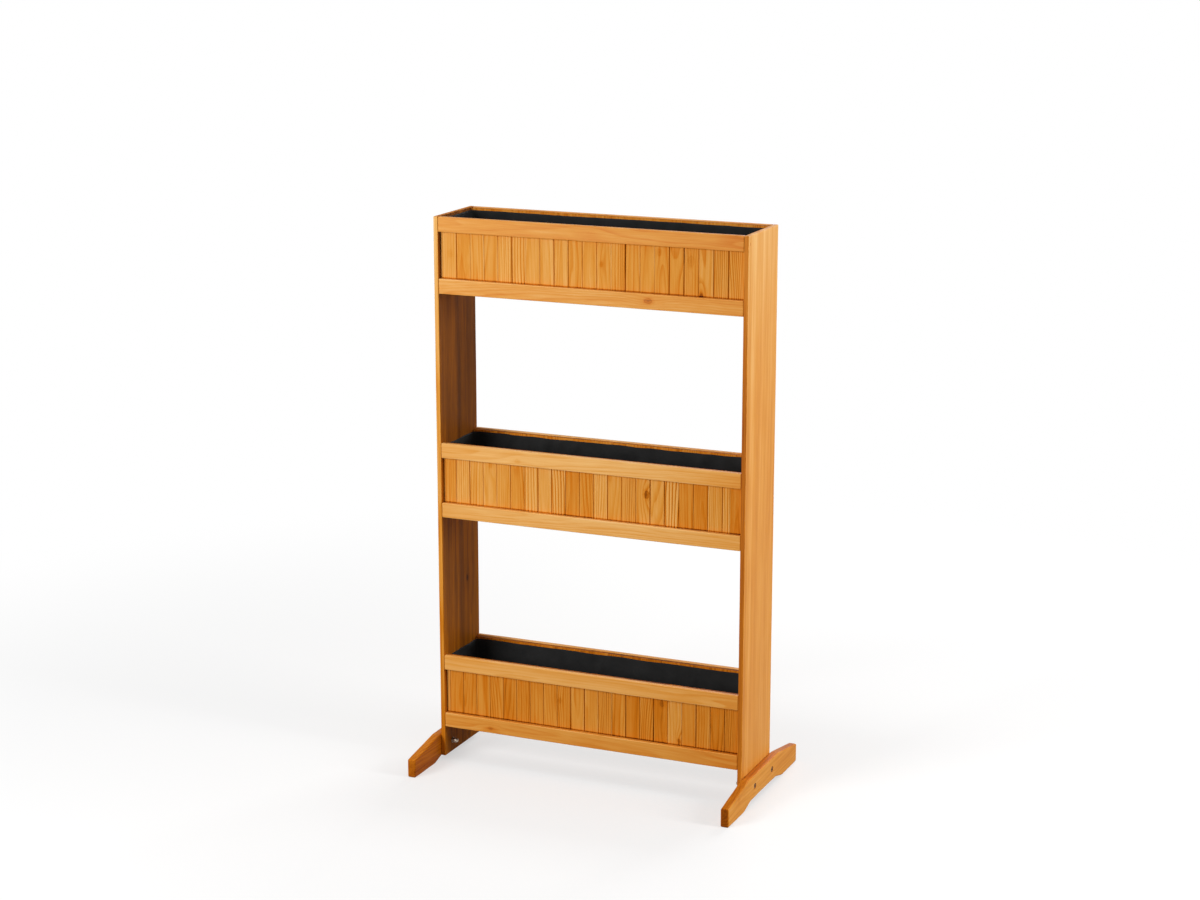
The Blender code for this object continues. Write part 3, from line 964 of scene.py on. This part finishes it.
def build_fasteners(side, end, steel):
    sign = 1 if side == "right" else -1
    made = []
    for kind, rows_of in (("bolt", bolt_rows), ("washer", washer_rows), ("dome_nut", nut_rows)):
        node = f"{kind}_{side}_{end}"
        low, high = node_box(node)
        inward = kind == "dome_nut"
        direction = -sign if inward else sign
        start = low if direction > 0 else high
        middle = (low + high) / 2
        place = (start[0], middle[1], middle[2])
        mesh = turned_mesh(node + "_turned", rows_of(high[0] - low[0]), place, direction)
        # Only the bolts take the brown, as painted shade of their counterbores.
        set_attributes(mesh, {"shaded_in_bore": np.full(len(mesh.vertices), 1.0 * (kind == "bolt"))})
        made.append(new_piece(node + "_turned", mesh, [node], steel, crease=24))
    return made


zinc = zinc_plate()
for side_name in SIDES:
    for end_name in ("front", "back"):
        print(side_name, end_name, [piece.name for piece in build_fasteners(side_name, end_name, zinc)])

# %% [markdown]
# ## Tongue-and-groove walls
#
# Behind the rails stand narrow upright boards. Each has a tongue on one side and a groove on the other,
# and its front corners are planed off, so that every joint shows as a V. One panel with lines drawn on it
# would look printed, so each of a wall's 21 or 22 boards is its own closed shape here: its section, tongue
# and all, is carried from bottom to top. Stain pools in the joints, painted shade darkens the boards where
# they meet the rails, the sharp arrises are made paler, partly from handling and partly as painted
# highlight, and no two boards are from the same part of the tree. A few front boards were sawn further from
# the pith, so their rings are straighter, and they are drawn more strongly too.

# %% A board's section
MM = 0.001
TONGUE = 2.7
GROOVE = 3.0
BEVEL_LEAST = 0.35
BEVEL_MORE = 1.5
# How pale each level of a joint's section is made: partly from handling, partly painted highlight.
LEVEL_WEAR_AND_HIGHLIGHT = np.array([0, 0.4, 1.0, 0.5, 0, 0, 0, 0, 0, 0, 0])
LEVEL_POOL = np.array([0, 0, 0.05, 0.35, 1, 1, 1, 1, 1, 0.2, 0])


def joint_side(bevel, gap, reach, slack):
    """(distance from the joint line, depth) in millimetres from front to back: the flat front, the planed
    arris, the V, and then the tongue or the groove at half depth, which reaches past the joint line."""
    return np.array(
        [
            (-bevel - 1.05, 0),
            (-bevel - 0.45, 0),
            (-bevel - 0.10, 0.10),
            (-bevel + 0.25, 0.35),
            (-gap, bevel),
            (-gap, 2.9 - slack),
            (reach, 3.1 - slack),
            (reach, 4.7 + slack),
            (-gap, 4.9 + slack),
            (-gap, 7.8),
            (-gap - 0.2, 8.0),
        ]
    )


def board_section(width, shows, chance, tongued):
    """One board seen from above, in metres: down its right side with the tongue, and back up its left side
    with the groove. The more its joints show, the wider they are planed."""
    bevels = (BEVEL_LEAST + BEVEL_MORE * shows) * chance.uniform(0.85, 1.15, 2)
    gaps = chance.uniform(0.05, 0.22, 2)
    right = joint_side(bevels[0], gaps[0], TONGUE if tongued else -gaps[0], 0.0)
    left = joint_side(bevels[1], gaps[1], -GROOVE, 0.1)
    right_side = np.stack([width / 2 + right[:, 0] * MM, right[:, 1] * MM], axis=1)
    left_side = np.stack([-width / 2 - left[:, 0] * MM, left[:, 1] * MM], axis=1)
    return np.concatenate([right_side, left_side[::-1]])


def section_faces(rings, levels):
    """Quads round the sides. Either end is closed by quads from left to right, one for each level, and the
    first of them takes in the two points that lie on the flat front."""
    around = 2 * levels
    faces = ring_faces(rings, around, capped=False)
    for first in (0, (rings - 1) * around):
        right, left = np.arange(levels) + first, np.arange(around - 1, levels - 1, -1) + first
        faces.append([left[1], left[0], right[0], right[1], right[2], left[2]])
        faces += np.stack([left[2:-1], right[2:-1], right[3:], left[3:]], axis=1).tolist()
    return [[int(corner) for corner in face] for face in faces]


print("a section has", len(board_section(0.032, np.ones(2), chance_for("board"), True)), "points")

# %% Tongue-and-groove walls
# How much painted shade darkens a board at each distance from its end, where a rail meets it. A rail
# covers the first 32 mm of it.
SHADE_BESIDE_RAIL = {0.0: 0.8, 0.0324: 0.8, 0.0332: 0.12, 0.0355: 0.0}
RAIL_SHADE_DEPTH = 0.005
# One letter for each joint from left to right: faint, plain or strong.
JOINT_LEVELS = {"f": 0.10, "p": 0.50, "s": 0.85}
JOINTS_SEEN = {
    "top": "sfppsfpssppfspfsspss",
    "middle": "psppppsspppsppssppppf",
    "bottom": "pppppppppssppspsppspp",
}
# One letter for each front board from left to right: pale, light, honey, deep or brown.
TONE_LEVELS = {"p": 0.65, "l": 0.40, "h": 0.15, "d": -0.15, "b": -0.50}
# The bottom trough's many deep and brown letters are painted shade, for the light that falls off towards the
# bottom.
TONES_SEEN = {
    "top": "phllpllppllhhlhhhhlhh",
    "middle": "hplllhpplddplhplpdbhhb",
    "bottom": "ldddddddddhhddbbblddbb",
}
BOARD_KNOTS = {
    ("top", "front", 0): (0.004, 0.004, 0.0050, 0.25),
    ("top", "front", 11): (-0.006, 0.003, 0.0034, 0.6),
    ("top", "front", 15): (-0.006, 0.036, 0.0044, 0.5),
    ("top", "front", 17): (-0.001, 0.022, 0.0070, 0.35),
    ("top", "front", 18): (-0.010, -0.048, 0.0036, 1.2),
    ("middle", "front", 3): (0.002, 0.043, 0.0040, 0.5),
    ("middle", "front", 14): (0.008, 0.014, 0.0054, 1.5),
    ("bottom", "front", 9): (-0.009, 0.012, 0.0036, 0.5),
    ("bottom", "front", 16): (0.003, 0.038, 0.0046, 0.7),
    ("bottom", "front", 17): (0.010, -0.041, 0.0034, 1.3),
    ("top", "back", 6): (-0.003, 0.020, 0.0036, 0.8),
    ("middle", "back", 16): (0.004, -0.015, 0.0032, 1.0),
    ("bottom", "back", 4): (0.002, 0.010, 0.0038, 0.7),
}
# How many times as strong as usual the rings of some front boards are.
QUARTER_SAWN = {
    "top": {0: 1.5, 4: 1.8, 5: 2.4, 11: 2.0, 12: 1.8, 17: 1.6, 19: 1.8, 20: 1.6},
    "middle": {1: 1.5, 2: 1.5, 6: 2.0, 8: 2.8, 11: 1.6, 13: 2.4, 16: 2.9, 19: 2.0, 20: 3.0},
    "bottom": {9: 1.5, 12: 2.0, 15: 1.6, 17: 1.5, 19: 1.4, 21: 2.2},
}
PITH_AWAY = 0.055


def upright_places(low, high):
    """Rings up a board, closer where it comes out from behind a rail and painted shade darkens it."""
    near, rail_shade = np.array(list(SHADE_BESIDE_RAIL)), np.array(list(SHADE_BESIDE_RAIL.values()))
    middle = np.linspace(low + near[-1], high - near[-1], 7)[1:-1]
    places = np.concatenate([low + near, middle, high - near[::-1]])
    return places, np.concatenate([rail_shade, 0 * middle, 0.2 * rail_shade[::-1]])


def joint_lines(node, outward):
    """Where a wall's joints lie across the planter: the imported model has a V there, so they are the places
    of its points between the front and the back of the boards."""
    low, high = node_box(node)
    points = points_of(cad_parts[node].data)
    face, back = (low[1], high[1]) if outward < 0 else (high[1], low[1])
    within = (np.abs(points[:, 1] - face) > MM) & (np.abs(points[:, 1] - back) > MM)
    return np.concatenate([[low[0]], np.unique(points[within, 0].round(5)), [high[0]]])


def wall_board(tier, wall, index, lines):
    """The points, faces and attributes of one board of a wall."""
    low, high = node_box(f"{tier}_{wall}_boards")
    chance = chance_for(f"{tier}_{wall}_{index}")
    width = lines[index + 1] - lines[index]
    centre = lines[index] + width / 2
    shows = [0.8, *[JOINT_LEVELS[letter] for letter in JOINTS_SEEN[tier]], 0.8]
    shows = np.array(shows)[[index + 1, index]]
    section = board_section(width, shows, chance, index < len(lines) - 2)
    levels = len(section) // 2
    places, rail_shade = upright_places(low[2], high[2])
    set_back = chance.uniform(0, 0.0002) + 0.00005 * (1 + wander(places, chance))
    across = section[:, 0] + 0 * places[:, None]
    depth = section[:, 1] + set_back[:, None]
    outward = -1 if wall == "front" else 1
    face = low[1] if wall == "front" else high[1]
    points = np.stack([centre + across, face - outward * depth, places[:, None] + 0 * across], axis=-1)
    if wall == "front":
        tone = TONE_LEVELS[TONES_SEEN[tier][index]]
    else:
        tone = BOARD_TONES_WITH_SHADE[tier] + chance.normal(0, 0.13)
    # The paler arrises beside each V: partly from handling, partly painted highlight.
    wear_and_highlight = np.concatenate([LEVEL_WEAR_AND_HIGHLIGHT, LEVEL_WEAR_AND_HIGHLIGHT[::-1]]) + 0 * across
    right_pool, left_pool = 0.1 + 0.9 * shows
    joint_pool = np.concatenate([LEVEL_POOL * right_pool, (LEVEL_POOL * left_pool)[::-1]])
    # Where a board meets a rail its front is darkened: painted shade.
    pool_and_shade = np.maximum(joint_pool + 0 * across, rail_shade[:, None] * (depth < RAIL_SHADE_DEPTH))
    along = (places - places.mean())[:, None] + 0 * across
    flat = [values.ravel() for values in (across, depth, along, wear_and_highlight, pool_and_shade)]
    ringed = QUARTER_SAWN[tier].get(index, 1.0) if wall == "front" else 1.0
    log = tree_place(flat[0], flat[1], flat[2], width, chance)
    log[:, 0] += PITH_AWAY * (ringed > 1.0)
    return {
        "points": points.reshape(-1, 3),
        "faces": section_faces(len(places), levels),
        "log": log,
        "knot": knot_place(flat[0], flat[2], BOARD_KNOTS.get((tier, wall, index))),
        "finish": np.stack([tone + 0 * flat[3], flat[3], flat[4]], axis=1),
        "cut": 0.3 * (np.abs(flat[2]) > np.abs(flat[2]).max() - 1e-6),
        "ringed": ringed + 0 * flat[2],
    }


def build_wall(tier, wall):
    node = f"{tier}_{wall}_boards"
    lines = joint_lines(node, -1 if wall == "front" else 1)
    boards = [wall_board(tier, wall, index, lines) for index in range(len(lines) - 1)]
    starts = np.cumsum([0] + [len(board["points"]) for board in boards])
    faces = []
    for board, start in zip(boards, starts):
        faces += [[corner + start for corner in face] for face in board.pop("faces")]
    joined = {key: np.concatenate([board[key] for board in boards]) for key in boards[0]}
    points = joined.pop("points")
    mesh = new_mesh(node + "_fitted", points, faces, joined)
    return new_piece(node + "_fitted", mesh, [node], WOODS["board_wood"])


for tier_name in TIERS:
    print(tier_name, [len(build_wall(tier_name, wall_name).data.polygons) for wall_name in WALLS], "faces")

# %% [markdown]
# ## Liners
#
# Each trough holds soil in a bag of black non-woven cloth. A real one never fits like a box: it bridges
# the corners, stands off the walls in soft folds and is rumpled on the floor boards. A cloth simulation
# could drop a bag in, but a thin bag between hard walls is slow and fragile to simulate. Here the five
# panels of the sewn bag are grids, every point is pushed inwards by one formula of its place, and the
# shared seams stay closed because both sides of a seam are pushed alike.

# %% Liner cloth
LINER_STEP = 0.008
LINER_CORNER = 0.011
LINER_THICKNESS = 0.0006
WALL_REACH = 0.004


def liner_cloth():
    graph, shader, material = new_material("liner_cloth")
    place = graph.node("ShaderNodeTexCoord", "Object")
    fibres = graph.noise(place, (1800, 1800, 1800), 4.0)
    worn = graph.noise(place, (30, 30, 30), 3.0)
    shade = graph.total(0.0, (0.6, fibres), (0.4, worn))
    graph.put(
        shader.inputs["Base Color"],
        graph.ramp(shade, [(0.30, (0.010, 0.010, 0.010)), (0.70, (0.030, 0.030, 0.030))]),
    )
    scaled = graph.vector("MULTIPLY", place, (700, 700, 700))
    dimples = graph.node("ShaderNodeTexVoronoi", "Distance", {"Vector": scaled, "Scale": 1.0})
    height = graph.total(0.0, (0.6, dimples), (0.5, fibres))
    graph.bump(shader, height, 0.5, 0.0004)
    shader.inputs["Roughness"].default_value = 0.85
    shader.inputs["Specular IOR Level"].default_value = 0.1
    shader.inputs["Sheen Weight"].default_value = 0.03
    shader.inputs["Sheen Roughness"].default_value = 0.5
    return material


def evenly(low, high):
    return np.linspace(low, high, int(round((high - low) / LINER_STEP)) + 1)


def bag_points(low, high):
    """The bag as three grids: one sheet down the front, over the floor and up the back, and two ends."""
    x, y, z = (evenly(low[axis], high[axis]) for axis in range(3))
    path_y = np.concatenate([low[1] + 0 * z[1:], y, high[1] + 0 * z[1:]])
    path_z = np.concatenate([z[:0:-1], low[2] + 0 * y, z[1:]])
    sheet = np.stack(np.broadcast_arrays(x[None, :], path_y[:, None], path_z[:, None]), axis=-1)
    grids = [sheet]
    for side in (low[0], high[0]):
        grids.append(np.stack(np.broadcast_arrays(side, y[:, None], z[None, :]), axis=-1))
    return grids


def grid_faces(rows, columns, start):
    row, column = np.meshgrid(np.arange(rows - 1), np.arange(columns - 1), indexing="ij")
    here = start + row * columns + column
    return np.stack([here, here + 1, here + columns + 1, here + columns], axis=-1).reshape(-1, 4).tolist()


def ridges(first, second, chance, count, size, height, width):
    """Soft ridges over a sheet: each is a bell across a line at a random place and angle, and dies away
    along it."""
    total = 0 * first
    for _ in range(count):
        angle = chance.uniform(0, math.pi)
        middle = chance.uniform(-0.5, 0.5, 2) * size
        along = (first - middle[0]) * math.cos(angle) + (second - middle[1]) * math.sin(angle)
        across = (second - middle[1]) * math.cos(angle) - (first - middle[0]) * math.sin(angle)
        reach = chance.uniform(0.02, 0.07)
        total = total + chance.uniform(0.3, 1) * np.exp(-((across / width) ** 2) - (along / reach) ** 2)
    return height * np.clip(total, 0, 1.3)


def off_walls(places, low, high):
    """1 at the low wall and -1 at the high one, and next to nothing between them."""
    return np.exp(-(places - low) / WALL_REACH) - np.exp(-(high - places) / WALL_REACH)


def slump(points, low, high, chance):
    """Pushes the bag's points inwards: ridges and hanging folds on each face, then its corners rounded by
    drawing every point of a corner's zone onto a quarter of a ball."""
    middle, size = (low + high) / 2, high - low
    x, y, z = (points - middle).T
    to_rim = (high[2] - points[:, 2]) / size[2]
    folds = 0.0011 * (1 + wander(x + 0.001 * y, chance, 9.0)) * (0.3 + 0.7 * to_rim)
    folds = folds + ridges(x, z, chance, 26, size[[0, 2]], 0.0030, 0.007)
    end_folds = 0.0010 + ridges(y, z, chance, 5, size[[1, 2]], 0.0028, 0.006)
    rumple = 0.0004 + ridges(x, y, chance, 46, size[[0, 1]], 0.0042, 0.006)
    inward = np.stack(
        [
            end_folds * off_walls(points[:, 0], low[0], high[0]),
            folds * off_walls(points[:, 1], low[1], high[1]),
            rumple * np.exp(-(points[:, 2] - low[2]) / WALL_REACH),
        ],
        axis=1,
    )
    points = points + inward
    to_wall = np.minimum(points - low, high - points)
    to_wall[:, 2] = points[:, 2] - low[2]
    reach = np.clip(LINER_CORNER - to_wall, 0, None)
    length = np.linalg.norm(reach, axis=1, keepdims=True)
    drawn = reach * np.minimum(1, LINER_CORNER / np.maximum(length, 1e-9))
    side = np.where(points < middle, 1.0, -1.0)
    side[:, 2] = 1.0
    points = points + side * (reach - drawn)
    rim = 0.0010 * (1 + wander(x + y, chance, 12.0))
    points[:, 2] -= rim * (1 - to_rim)
    return points


def build_liner(tier, cloth):
    """One bag. Its flat cut takes in the floor and both walls, each way, less a square at each corner."""
    node = f"{tier}_liner"
    low, high = node_box(node)
    grids = bag_points(low, high)
    starts = np.cumsum([0] + [grid.shape[0] * grid.shape[1] for grid in grids])
    faces = [face for grid, start in zip(grids, starts) for face in grid_faces(*grid.shape[:2], start)]
    points = np.concatenate([grid.reshape(-1, 3) for grid in grids])
    mesh = new_mesh(node + "_bag", slump(points, low, high, chance_for(node)), faces)
    bag = new_piece(node + "_bag", mesh, [node], cloth, crease=80)
    smooth = bag.modifiers.new("Soft folds", "SUBSURF")
    smooth.levels = smooth.render_levels = 1
    solid = bag.modifiers.new("Cloth thickness", "SOLIDIFY")
    solid.thickness = LINER_THICKNESS
    solid.offset = -1
    return bag


cloth = liner_cloth()
for tier_name in TIERS:
    print(tier_name, "liner:", len(build_liner(tier_name, cloth).data.polygons), "faces")
